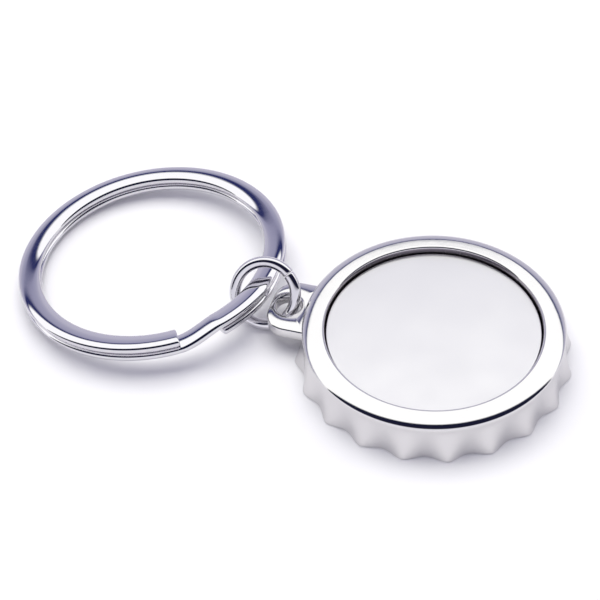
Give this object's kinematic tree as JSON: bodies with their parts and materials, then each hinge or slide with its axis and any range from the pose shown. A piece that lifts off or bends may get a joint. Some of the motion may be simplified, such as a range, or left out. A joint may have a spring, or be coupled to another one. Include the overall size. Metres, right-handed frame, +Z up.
{
  "type": "keychain bottle opener",
  "caption": "Bottle opener shaped like a crown cap, with a steel catch in its hollow underside and a lug, jump ring and split ring for keys.",
  "frame": {"origin": "middle of the footprint, on the surface that the part lies on", "axes": "+X from the split ring towards the cap, along the part's length; +Y across it; +Z up, out of the insert's face"},
  "size_m": [0.0768, 0.0408, 0.0081],
  "materials": {
    "cap_plating": "bright nickel plate over polished die-cast zinc",
    "adhesive_film": "matt double-sided film",
    "insert_aluminium": "fine satin, clear anodised",
    "catch_steel": "stamped, nickel plated",
    "rivet_steel": "bright, formed head",
    "ring_plating": "polished nickel plate on spring steel wire"
  },
  "bodies": {
    "cap": {"cap_body": "cap_plating", "adhesive_pad": "adhesive_film", "insert_disc": "insert_aluminium", "catch_plate": "catch_steel", "catch_rivet_left": "rivet_steel", "catch_rivet_right": "rivet_steel"},
    "jump_ring": {"jump_ring": "ring_plating"},
    "split_ring": {"split_ring": "ring_plating"}
  },
  "joints": [
    {"name": "jump_ring_swing", "type": "hinge", "parent": "cap", "child": "jump_ring", "pos_m": [-0.00239, -0.00162, 0.0041], "axis": [0, 0.7965, -0.6046], "range_deg": [0, 20]},
    {"name": "split_ring_lift", "type": "hinge", "parent": "jump_ring", "child": "split_ring", "pos_m": [-0.00337, -0.00125, 0.00417], "axis": [0.1908, 0.9816, 0], "range_deg": [0, 120]}
  ]
}
